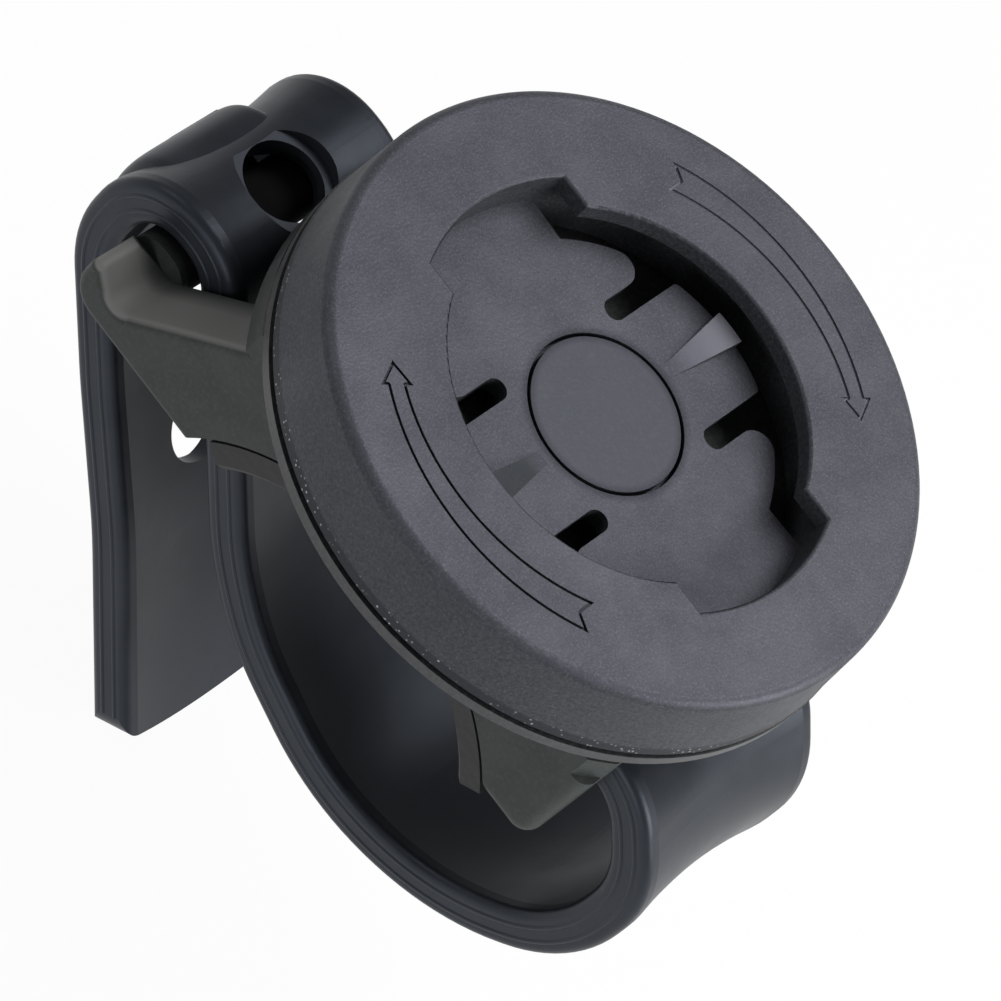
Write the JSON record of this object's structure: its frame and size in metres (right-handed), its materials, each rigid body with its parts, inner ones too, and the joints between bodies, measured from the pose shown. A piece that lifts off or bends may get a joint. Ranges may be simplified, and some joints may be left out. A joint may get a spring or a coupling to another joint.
{
  "type": "bike computer mount",
  "caption": "Quarter-turn handlebar mount: a round locking socket on a padded saddle, with a perforated silicone strap that loops under the bar and hooks over the far arm.",
  "frame": {"origin": "on the handlebar's axis, under the middle of the socket", "axes": "+X along the handlebar, +Y towards the arm that the strap hooks over, +Z out of the socket's face"},
  "size_m": [0.047, 0.062, 0.0582],
  "materials": {
    "cover_plastic": "satin, finely grained skirt",
    "cap_plastic": "satin",
    "plate_plastic": "satin, polished lower edge",
    "base_plastic": "matte, finely grained",
    "pad_rubber": "matte",
    "strap_silicone": "satin silicone",
    "steel": "satin"
  },
  "bodies": {
    "root": {"socket_cover": "cover_plastic", "centre_cap": "cap_plastic", "centre_screw": "steel", "screw_washer": "steel", "captive_nut": "steel", "back_plate": "plate_plastic", "cover_screws": "steel", "base_body": "base_plastic", "saddle_pad": "pad_rubber", "strap": "strap_silicone"}
  },
  "joints": []
}
